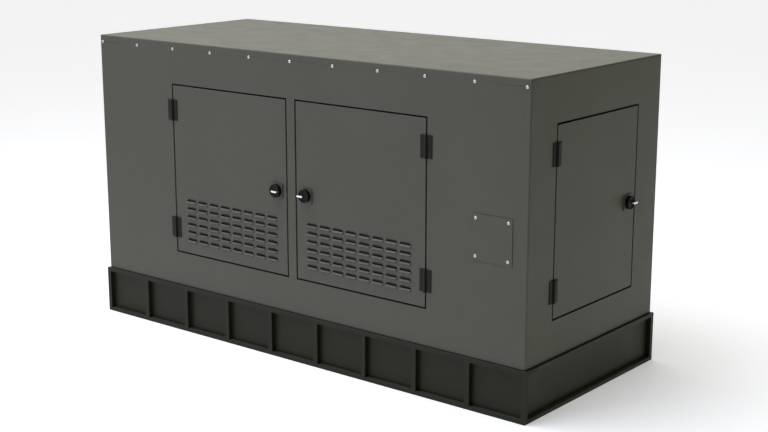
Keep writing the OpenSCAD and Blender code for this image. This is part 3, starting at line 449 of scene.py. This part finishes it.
def soften(node, width):
    """Rounds a CAD node's sharp edges by a small radius, without touching its mesh."""
    weld = node.modifiers.new("weld", "WELD")
    weld.merge_threshold = 0.02 * MM
    bevel = node.modifiers.new("round", "BEVEL")
    bevel.limit_method = "ANGLE"
    bevel.angle_limit = math.radians(SHARP)
    bevel.width = width
    bevel.segments = 2
    bevel.use_clamp_overlap = True
    node.modifiers.new("flats", "WEIGHTED_NORMAL").keep_sharp = False


for name, node in nodes.items():
    node.data.materials.clear()
    node.data.materials.append(own_paint.get(name, finishes[slot_of[name]]))
    edge = EDGE_SOFT_OF.get(name, EDGE_SOFT)
    if edge:
        soften(node, edge)


# ---- mesh helpers ----


def make(name, mesh_builder, body, slot, material=None, sharp=SHARP):
    """Links a new piece with the mesh that mesh_builder fills, and rides it on body.

    It has the given material, or else its slot's. Edges bent by more than sharp degrees stay crisp.
    """
    bm = bmesh.new()
    mesh_builder(bm)
    mesh = bpy.data.meshes.new(name)
    bm.to_mesh(mesh)
    bm.free()
    mesh.materials.append(material or finishes[slot])
    mesh.shade_smooth()
    mesh.set_sharp_from_angle(angle=math.radians(sharp))
    piece = bpy.data.objects.new(name, mesh)
    bpy.context.scene.collection.objects.link(piece)
    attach(piece, body)
    return piece


def skin_loops(bm, loops):
    """Faces between closed loops of equal length, and across the first and the last."""
    rings = [[bm.verts.new(p) for p in loop] for loop in loops]
    for a, b in zip(rings, rings[1:]):
        for i in range(len(a)):
            j = (i + 1) % len(a)
            bm.faces.new((a[i], a[j], b[j], b[i]))
    bm.faces.new(list(reversed(rings[0])))
    bm.faces.new(rings[-1])


def axes_of(out):
    """Two directions square to the unit vector out, with the second one as near +Z as can be."""
    across = Vector((0, 0, 1)).cross(out)
    across = across.normalized() if across.length > 1e-6 else Vector((1, 0, 0))
    return across, out.cross(across)


def lathe(bm, centre, out, profile, steps):
    """Turns (radius, height) points about the axis out through centre."""
    across, up = axes_of(out)
    turns = [2 * math.pi * i / steps for i in range(steps)]
    spokes = [across * math.cos(a) + up * math.sin(a) for a in turns]
    loops = [[centre + out * h + spoke * max(r, 1e-5) for spoke in spokes] for r, h in profile]
    skin_loops(bm, loops)


def pill(length, width, corner):
    """Outline of a rounded rectangle about the origin."""
    steps = 6
    points = []
    for cx, cy, start in ((1, 1, 0), (-1, 1, 90), (-1, -1, 180), (1, -1, 270)):
        for i in range(steps + 1):
            a = math.radians(start + 90 * i / steps)
            x = cx * (length / 2 - corner) + corner * math.cos(a)
            y = cy * (width / 2 - corner) + corner * math.sin(a)
            points.append((x, y))
    return points


# ---- doors ----


class Door:
    """A door's own frame: u from the hinged edge, v up from the lower edge, w out of the face."""

    def __init__(self, side, node):
        low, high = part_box(node)
        self.side = side
        self.height = high.z - low.z
        if side == "end":
            self.width = high.y - low.y
            self.corner = Vector((end_face, low.y, low.z))
            self.u_way = Vector((0, 1, 0))
            self.out = Vector((1, 0, 0))
        else:
            self.width = high.x - low.x
            hinged = low.x if side == "left" else high.x
            self.corner = Vector((hinged, front_face, low.z))
            self.u_way = Vector((1 if side == "left" else -1, 0, 0))
            self.out = Vector((0, -1, 0))
        self.flipped = self.u_way.cross(Vector((0, 0, 1))).dot(self.out) < 0

    def at(self, u, v, w):
        """The point at u, v and w."""
        return self.corner + self.u_way * u + Vector((0, 0, v)) + self.out * w

    def uv(self, point):
        """The u, v and w of a point."""
        away = point - self.corner
        return away.dot(self.u_way), away.z, away.dot(self.out)

    def face(self, bm, corners):
        """A face that looks the same way out on a door of either hand."""
        bm.faces.new(list(reversed(corners)) if self.flipped else corners)


def louvre_section(share, lip_share):
    """One louvre's outline from top to foot, as (w, v) points about the slit, and None for the slit.

    share is the recess's depth here against its middle, and lip_share is the lip's.
    """
    points = []
    for i in range(8):
        a = math.radians(90 / 7 * i)
        points.append((-LOUVRE_IN * share * math.sin(a), LOUVRE_H * share * math.cos(a)))
    lip = LOUVRE_LIP * lip_share
    points.append(None)
    points.append((0, 0))
    for i in range(1, 3):
        points.append((lip * i / 3, -LIP_DROP * i / 3))
    for i in range(4):
        a = math.radians(90 - 30 * i)
        points.append((lip - LIP_ROUND * lip_share * (1 - math.sin(a)), -LIP_DROP - LIP_SHEET * i / 3))
    for i in range(1, 5):
        fall = 0.5 + 0.5 * math.cos(math.pi * i / 4)
        points.append((lip * LIP_SHOULDER * fall, -LIP_DROP - LIP_SHEET - (LIP_ROOT - LIP_SHEET) * i / 4))
    return points


def louvre_stations():
    """Places across one louvre, about its middle, close together round its curved ends."""
    straight = [SLIT_STRAIGHT * i / 3 for i in range(3)]
    curve = [SLIT_STRAIGHT + LOUVRE_H * math.sin(math.radians(11.25 * i)) for i in range(9)]
    taper = [LIP_END - LIP_TAPER * share for share in (1, 0.6, 0.3, 0.1, 0)]
    half = {*straight, *curve, *taper}
    return sorted(half | {-x for x in half})


def louvre_tile(bm, door, u0, v0):
    """A louvre and the flat sheet round it, one pitch wide and one pitch high, its slit at u0, v0."""
    columns = []
    for x in [-PITCH_U / 2, *louvre_stations(), PITCH_U / 2]:
        past = max(abs(x) - SLIT_STRAIGHT, 0) / LOUVRE_H
        share = math.sqrt(max(0.0, 1 - past * past))
        lip_share = min(1.0, max(0.0, (LIP_END - abs(x)) / LIP_TAPER)) ** 0.5
        outline = [(0, PITCH_V - BELOW_SLIT), *louvre_section(share, lip_share), (0, -BELOW_SLIT)]
        columns.append([p and bm.verts.new(door.at(u0 + x, v0 + p[1], p[0])) for p in outline])
    for left, right in zip(columns, columns[1:]):
        for i in range(len(left) - 1):
            if left[i] and left[i + 1]:
                door.face(bm, [left[i + 1], right[i + 1], right[i], left[i]])


def flat_sheet(bm, door, borders):
    """Fills the door's flat face between its bend and its louvres, whose borders are (u0, u1, v0, v1)."""
    near = 0.05 * MM

    def on_border(edge):
        spots = [door.uv(v.co) for v in edge.verts]
        if any(abs(w) >= near for u, v, w in spots):
            return False
        return any(
            all(abs(spot[axis] - line) < near for spot in spots)
            for u0, u1, v0, v1 in borders
            for axis, line in ((0, u0), (0, u1), (1, v0), (1, v1))
        )

    rim = [e for e in bm.edges if len(e.link_faces) == 1 and on_border(e)]
    bmesh.ops.triangle_fill(bm, use_beauty=True, edges=rim, normal=door.out)


def folded_edges(bm, door):
    """The bend round the door's face and the returns behind it."""
    profile = []
    for i in range(6):
        a = math.radians(18 * i)
        profile.append((EDGE_BEND * (1 - math.sin(a)), -EDGE_BEND * (1 - math.cos(a))))
    profile.append((0, -DOOR_DEPTH))
    rings = []
    for inset, w in profile:
        far_u, far_v = door.width - inset, door.height - inset
        ring = ((inset, inset), (far_u, inset), (far_u, far_v), (inset, far_v))
        rings.append([bm.verts.new(door.at(u, v, w)) for u, v in ring])
    for a, b in zip(rings, rings[1:]):
        for i in range(4):
            j = (i + 1) % 4
            door.face(bm, [b[i], b[j], a[j], a[i]])


def door_skin(door, node, body, louvred):
    """A folded door pan as bent sheet, with its louvres pressed in."""
    middle = door.width / 2 + FIELD_SHIFT
    u0, u1 = middle - LOUVRE_COLUMNS / 2 * PITCH_U, middle + LOUVRE_COLUMNS / 2 * PITCH_U
    v0, v1 = FIRST_SLIT - BELOW_SLIT, FIRST_SLIT - BELOW_SLIT + LOUVRE_ROWS * PITCH_V

    def build(bm):
        folded_edges(bm, door)
        borders = [(EDGE_BEND, door.width - EDGE_BEND, EDGE_BEND, door.height - EDGE_BEND)]
        if louvred:
            borders.append((u0, u1, v0, v1))
            for i in range(LOUVRE_COLUMNS):
                for j in range(LOUVRE_ROWS):
                    louvre_tile(bm, door, u0 + (i + 0.5) * PITCH_U, FIRST_SLIT + j * PITCH_V)
        bmesh.ops.remove_doubles(bm, verts=bm.verts, dist=0.01 * MM)
        flat_sheet(bm, door, borders)

    paint = door_paint_with_painted_highlight if louvred else end_paint_painted_shade
    skin = make(f"{door.side}_door_skin", build, body, "wall_paint", paint)
    thick = skin.modifiers.new("thickness", "SOLIDIFY")
    thick.thickness = DOOR_SHEET
    thick.offset = -1
    skin.modifiers.new("flats", "WEIGHTED_NORMAL").keep_sharp = True
    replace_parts(skin, node)


def door_liner(door, body, v0):
    """Foam pad glued inside a door from v0 up, cut in rows of wedges."""
    u0, u1 = LINER_MARGIN, door.width - LINER_FREE_EDGE
    v1 = door.height - LINER_MARGIN
    columns = int((u1 - u0) / LINER_WEDGE) * 4
    rows = int((v1 - v0) / LINER_WEDGE) * 4

    def build(bm):
        def relief(i, j):
            if i in (0, columns) or j in (0, rows):
                return LINER_RIM
            wave = math.sin(math.pi * i / 2) * math.sin(math.pi * j / 2)
            ridge = (abs(i % 4 - 2) + abs(j % 4 - 2)) / 4
            return LINER_VALLEY + LINER_RIDGE * ridge + LINER_RIPPLE * wave

        def corner(i, j, depth):
            u = u0 + (u1 - u0) * i / columns
            v = v0 + (v1 - v0) * j / rows
            return bm.verts.new(door.at(u, v, -depth))

        def grid(depth):
            return [[corner(i, j, depth(i, j)) for i in range(columns + 1)] for j in range(rows + 1)]

        inner = grid(relief)
        outer = grid(lambda i, j: DOOR_SHEET + LINER_GAP)
        for j in range(rows):
            for i in range(columns):
                door.face(bm, [inner[j][i], inner[j + 1][i], inner[j + 1][i + 1], inner[j][i + 1]])
                door.face(bm, [outer[j][i], outer[j][i + 1], outer[j + 1][i + 1], outer[j + 1][i]])
        for j in range(rows):
            for i, turn in ((0, False), (columns, True)):
                corners = [outer[j][i], outer[j + 1][i], inner[j + 1][i], inner[j][i]]
                door.face(bm, corners[::-1] if turn else corners)
        for i in range(columns):
            for j, turn in ((0, True), (rows, False)):
                corners = [outer[j][i], outer[j][i + 1], inner[j][i + 1], inner[j][i]]
                door.face(bm, corners[::-1] if turn else corners)

    pad = make(f"{door.side}_door_liner", build, body, "rubber", foam, 25)


# ---- latches ----

# Half the knob's section as (radius, height) from the door's face, in mm
KNOB_SECTION = [
    (0, 4.1), (24.0, 4.1), (24.7, 4.4), (25, 5.1), (25, 16.4), (24.7, 17.3), (24.0, 17.8), (23.0, 18.0),
    (21.6, 18.0), (20.8, 17.7), (20.2, 16.9), (19.6, 15.5), (18.8, 14.8), (17.6, 14.5), (11.0, 14.5),
    (10.2, 14.2), (9.8, 13.2), (0, 13.2),
]
SPINDLE_R = 6 * MM
SPINDLE_L = 40.9 * MM
SPINDLE_BEHIND = 38 * MM  # length behind the door's face
BAR_L = 28 * MM
BAR_W = 7.5 * MM
BAR_CORNER = 3.4 * MM
BAR_SHIFT = 8.5 * MM  # from the knob's middle toward the door's free edge
BAR_LEVELS = ((0, 12.5), (0, 28.6), (-0.5, 29.6), (-1.4, 30.0))  # growth and height in mm


def latch(side, out, free):
    """A quarter-turn latch: the dished knob and the bright grip bar across it, set toward the way free."""
    low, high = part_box(f"{side}_latch_plate")
    centre = (low + high) / 2
    if side == "end":
        centre.x = end_face
    else:
        centre.y = front_face
    up = Vector((0, 0, 1))

    def knob(bm):
        lathe(bm, centre, out, [(r * MM, h * MM) for r, h in KNOB_SECTION], 64)
        lathe(bm, centre - out * SPINDLE_BEHIND, out, [(SPINDLE_R, 0), (SPINDLE_R, SPINDLE_L)], 24)

    def bar(bm):
        loops = []
        for grow, height in BAR_LEVELS:
            outline = pill(BAR_L + 2 * grow * MM, BAR_W + 2 * grow * MM, BAR_CORNER + grow * MM)
            middle = centre + free * BAR_SHIFT + out * height * MM
            loops.append([middle + free * x + up * y for x, y in outline])
        skin_loops(bm, loops)
        bmesh.ops.recalc_face_normals(bm, faces=bm.faces)

    body = f"{side}_latch"
    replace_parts(make(f"{side}_latch_dial", knob, body, "latch_black"), f"{side}_latch_knob")
    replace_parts(make(f"{side}_latch_grip", bar, body, "bright_metal"), f"{side}_latch_bar")


# ---- screws ----

HEAD_H = 3 * MM
SHANK_R = 2.6 * MM
SHANK_L = 2 * MM
HEAD_STEPS = 36


def islands(node):
    """Lower and upper corner of the box round each separate solid in a CAD node."""
    bm = bmesh.new()
    bm.from_mesh(nodes[node].data)
    bmesh.ops.remove_doubles(bm, verts=bm.verts, dist=0.02 * MM)
    seen, found = set(), []
    for start in bm.verts:
        if start.index in seen:
            continue
        stack, group = [start], []
        seen.add(start.index)
        while stack:
            v = stack.pop()
            group.append(v.co.copy())
            for e in v.link_edges:
                other = e.other_vert(v)
                if other.index not in seen:
                    seen.add(other.index)
                    stack.append(other)
        low = Vector([min(c[i] for c in group) for i in range(3)])
        high = Vector([max(c[i] for c in group) for i in range(3)])
        found.append((low, high))
    bm.free()
    return found


def screw_head(bm, centre, out, radius, turn):
    """A domed head with a rolled rim and a hexagon socket."""
    across, up = axes_of(out)
    socket = radius * 0.46
    steepest = math.radians(65)

    def ring(r, h, hexed):
        points = []
        for i in range(HEAD_STEPS):
            a = 2 * math.pi * i / HEAD_STEPS
            reach = r / math.cos(a % (math.pi / 3) - math.pi / 6) if hexed else r
            spoke = across * math.cos(a + turn) + up * math.sin(a + turn)
            points.append(centre + out * h + spoke * reach)
        return points

    dome = [(radius, 0.0, False), (radius, HEAD_H * 0.25, False)]
    for i in range(1, 6):
        a = steepest * i / 5
        rise = 0.25 + 0.75 * math.sin(a) / math.sin(steepest)
        dome.append((radius * math.cos(a) ** 0.6, HEAD_H * rise, False))
    top = dome[-1][1]
    dome += [(socket * 1.12, top, True), (socket, top - HEAD_H * 0.08, True), (socket, HEAD_H * 0.2, True)]
    skin_loops(bm, [ring(*row) for row in dome])
    bmesh.ops.recalc_face_normals(bm, faces=bm.faces)


def cover_screw_heads():
    """Every cover and roof screw, where the CAD has it, each turned as it happened to stop."""

    def build(bm):
        for count, (low, high) in enumerate(islands("cover_screws")):
            centre = (low + high) / 2
            out = Vector((0, -1 if centre.y < 0 else 1, 0))
            face_y = low.y if centre.y < 0 else high.y
            seat = Vector((centre.x, face_y, centre.z)) - out * HEAD_H
            lathe(bm, centre, out, [(SHANK_R, 0), (SHANK_R, SHANK_L)], 12)
            screw_head(bm, seat, out, (high.x - low.x) / 2, 1.7 * count)

    heads = make("cover_screw_heads", build, "root", "zinc")
    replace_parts(heads, "cover_screws")


for side in ("left", "right", "end"):
    node = f"{side}_door_panel"
    body = f"{side}_door"
    louvred = side != "end"
    door = Door(side, node)
    door_skin(door, node, body, louvred)
    door_liner(door, body, LINER_ABOVE_LOUVRES if louvred else LINER_MARGIN)
latch("left", Vector((0, -1, 0)), Vector((1, 0, 0)))
latch("right", Vector((0, -1, 0)), Vector((-1, 0, 0)))
latch("end", Vector((1, 0, 0)), Vector((0, 1, 0)))
cover_screw_heads()


# ---- stage, light and camera ----

VIEW_AZIMUTH = math.radians(38.97)
VIEW_ELEVATION = math.radians(13.36)
VIEW_TARGET = Vector((0.111, -0.020, 0.508))
VIEW_DISTANCE = 5.6
LENS = 67.04
SENSOR = 36
FLOOR_SIZE = 30
FLOOR_GLOW = 0.34
SKY_FRONT = (0.96, 0.98, 1.16)
SKY_BACK = (1.0, 0.99, 0.90)
SKY_END = (0.05, 0.045, 0.025)
OVERHEAD_PLACE = Vector((-0.6, -1.2, 4.2))
OVERHEAD_AIM = Vector((0, 0, 0.6))
OVERHEAD_SIZE = 3.0
OVERHEAD_POWER = 130
OVERHEAD_COLOUR = (0.90, 0.94, 1.0)


def floor():
    """A plain pale floor that glows a little, so that it stays white."""
    mesh = bpy.data.meshes.new("floor")
    bm = bmesh.new()
    bmesh.ops.create_grid(bm, x_segments=8, y_segments=8, size=FLOOR_SIZE)
    bm.to_mesh(mesh)
    bm.free()
    t = Tree("floor")
    tone = t.blend(t.noise(0.8, 2.0), (0.86, 0.86, 0.86), (0.90, 0.90, 0.90))
    t.join(tone, t.shader.inputs["Base Color"])
    t.set(Roughness=0.9, Emission_Color=(1, 1, 1, 1), Emission_Strength=FLOOR_GLOW)
    mesh.materials.append(t.material)
    piece = bpy.data.objects.new("floor", mesh)
    bpy.context.scene.collection.objects.link(piece)


def surroundings():
    """A white studio, cooler in front and warmer behind, and nearly dark toward +X."""
    world = bpy.data.worlds.new("studio")
    bpy.context.scene.world = world
    world.use_nodes = True
    tree = world.node_tree
    place = tree.nodes.new("ShaderNodeTexCoord")
    parts = tree.nodes.new("ShaderNodeSeparateXYZ")
    tree.links.new(place.outputs["Generated"], parts.inputs["Vector"])

    def rise(axis, low, high):
        made = tree.nodes.new("ShaderNodeMapRange")
        made.interpolation_type = "SMOOTHSTEP"
        made.inputs["From Min"].default_value = low
        made.inputs["From Max"].default_value = high
        tree.links.new(parts.outputs[axis], made.inputs["Value"])
        return made.outputs["Result"]

    sky = mix_colours(tree, rise("Y", -0.7, 0.5), SKY_FRONT, SKY_BACK)
    sky = mix_colours(tree, rise("X", -0.25, 0.55), sky, SKY_END)
    tree.links.new(sky, tree.nodes["Background"].inputs["Color"])


def overhead_light():
    """One large soft light above the front."""
    data = bpy.data.lights.new("overhead", "AREA")
    data.size = OVERHEAD_SIZE
    data.energy = OVERHEAD_POWER
    data.color = OVERHEAD_COLOUR
    light = bpy.data.objects.new("overhead", data)
    bpy.context.scene.collection.objects.link(light)
    light.location = OVERHEAD_PLACE
    light.rotation_euler = (OVERHEAD_AIM - OVERHEAD_PLACE).to_track_quat("-Z", "Y").to_euler()


def camera():
    """The camera on the front's right, looking slightly down."""
    data = bpy.data.cameras.new("camera")
    data.lens = LENS
    data.sensor_width = SENSOR
    made = bpy.data.objects.new("camera", data)
    bpy.context.scene.collection.objects.link(made)
    flat = math.cos(VIEW_ELEVATION)
    back = Vector((math.sin(VIEW_AZIMUTH) * flat, -math.cos(VIEW_AZIMUTH) * flat, math.sin(VIEW_ELEVATION)))
    made.location = VIEW_TARGET + back * VIEW_DISTANCE
    made.rotation_euler = (math.pi / 2 - VIEW_ELEVATION, 0, VIEW_AZIMUTH)
    bpy.context.scene.camera = made


floor()
surroundings()
overhead_light()
camera()
bpy.context.scene.view_settings.view_transform = "Standard"
